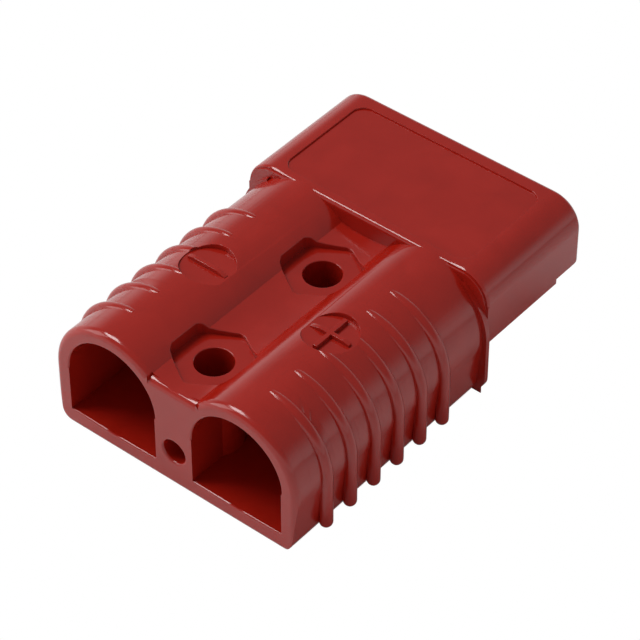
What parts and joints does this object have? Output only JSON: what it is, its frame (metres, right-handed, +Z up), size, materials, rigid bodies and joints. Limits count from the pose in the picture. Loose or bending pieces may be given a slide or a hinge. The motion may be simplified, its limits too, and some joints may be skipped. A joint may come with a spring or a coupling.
{
  "type": "genderless power connector",
  "caption": "Two-pole genderless power connector: moulded housing with ribbed sides, cable ports, open-bottom hood, leaf springs and crimp contacts.",
  "frame": {"origin": "centre of the underside, midway between the rear face and the hood's front", "axes": "+X to the plus pole's side, +Y the mating direction from the cable ports to the hood, +Z up out of the marked face"},
  "size_m": [0.056, 0.077, 0.0254],
  "materials": {
    "housing": "glossy moulded polycarbonate",
    "contact": "silver-plated copper",
    "spring": "bright stainless strip"
  },
  "bodies": {
    "root": {"housing": "housing", "contact_minus": "contact", "contact_plus": "contact", "spring_minus": "spring", "spring_plus": "spring"}
  },
  "joints": []
}
